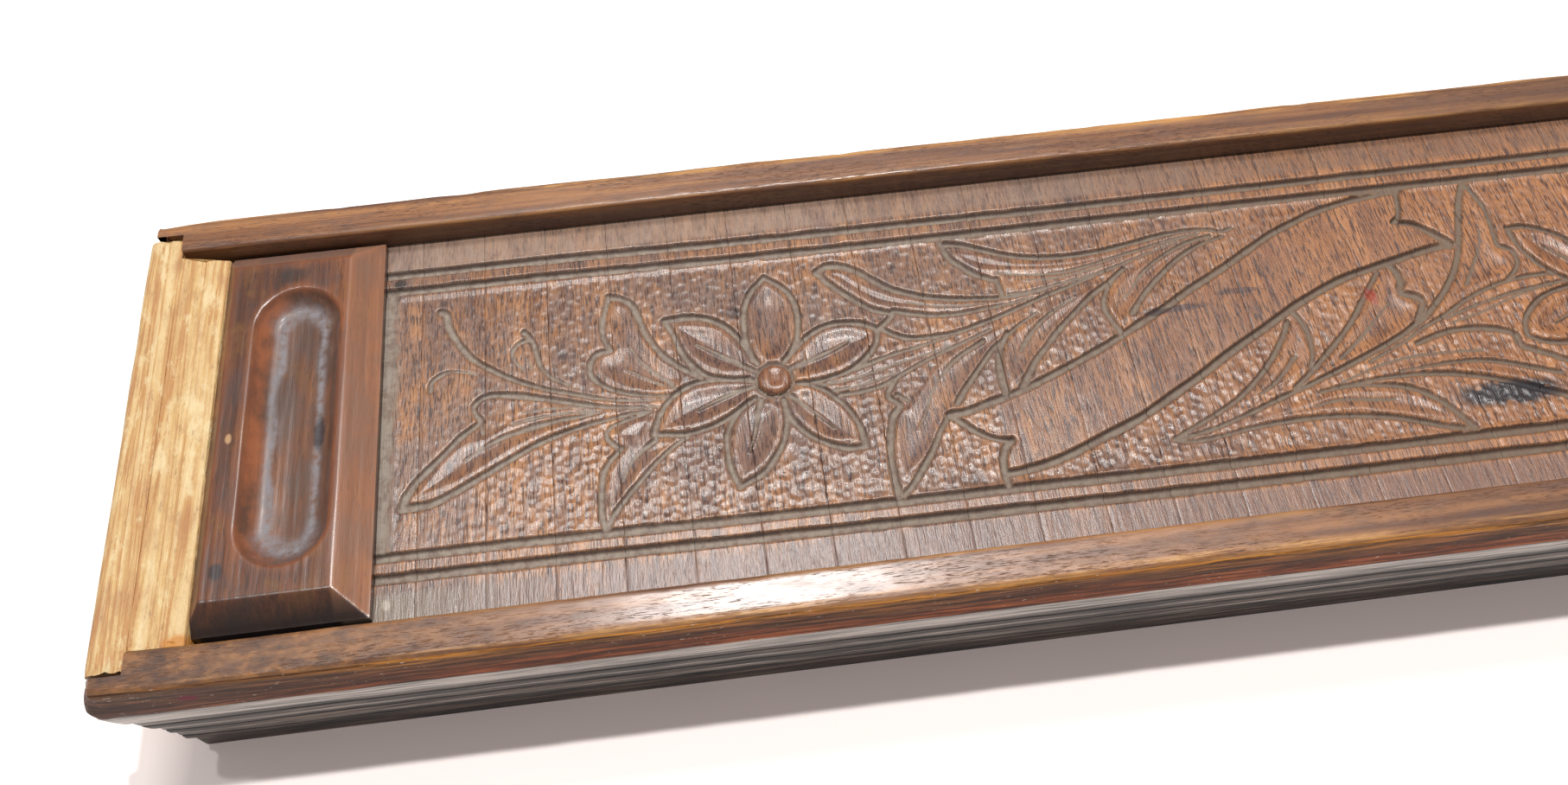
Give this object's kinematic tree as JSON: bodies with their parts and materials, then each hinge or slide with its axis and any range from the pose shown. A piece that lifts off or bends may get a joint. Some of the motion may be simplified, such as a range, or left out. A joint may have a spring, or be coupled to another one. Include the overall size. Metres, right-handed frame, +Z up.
{
  "type": "pencil box",
  "caption": "Long wooden pencil box with a carved roll-top lid of slats on canvas, led by a finger block and running under the tray.",
  "frame": {"origin": "under the middle of the box, on the surface it stands on", "axes": "+X along the box, from the finger block towards the bend of the track; +Y across it, away from the near side; +Z up"},
  "size_m": [0.2598, 0.065, 0.029],
  "materials": {
    "walnut": "worn old shellac, satin to gloss",
    "carved_walnut": "carved and punched, rubbed on top, dusty in the cuts",
    "mahogany": "polished, satin",
    "pine": "bare and yellowed",
    "canvas": "glued plain-weave linen",
    "steel": "dull"
  },
  "bodies": {
    "case": {"side_board_near": "walnut", "side_board_far": "walnut", "end_board_left": "pine", "end_board_right": "pine", "top_cap_right": "pine", "bottom_board": "walnut", "tray_floor": "pine", "tray_end": "pine", "bottom_pins": "steel"},
    "lid": {"finger_block": "mahogany", "slat_01": "carved_walnut", "slat_02": "carved_walnut", "slat_03": "carved_walnut", "slat_04": "carved_walnut", "slat_05": "carved_walnut", "slat_06": "carved_walnut", "slat_07": "carved_walnut", "slat_08": "carved_walnut", "slat_09": "carved_walnut", "slat_10": "carved_walnut", "slat_11": "carved_walnut", "slat_12": "carved_walnut", "slat_13": "carved_walnut", "slat_14": "carved_walnut", "slat_15": "carved_walnut", "slat_16": "carved_walnut", "slat_17": "carved_walnut", "slat_18": "carved_walnut", "slat_19": "carved_walnut", "slat_20": "carved_walnut", "slat_21": "carved_walnut", "slat_22": "carved_walnut", "slat_23": "carved_walnut", "slat_24": "carved_walnut", "slat_25": "carved_walnut", "slat_26": "carved_walnut", "slat_27": "carved_walnut", "canvas_backing": "canvas"}
  },
  "joints": [
    {"name": "lid_slide", "type": "slide", "parent": "case", "child": "lid", "axis": [1, 0, 0], "range_m": [0, 0.2064], "deforming": ["slat_01", "slat_02", "slat_03", "slat_04", "slat_05", "slat_06", "slat_07", "slat_08", "slat_09", "slat_10", "slat_11", "slat_12", "slat_13", "slat_14", "slat_15", "slat_16", "slat_17", "slat_18", "slat_19", "slat_20", "slat_21", "slat_22", "slat_23", "slat_24", "slat_25", "slat_26", "slat_27", "canvas_backing"]}
  ]
}
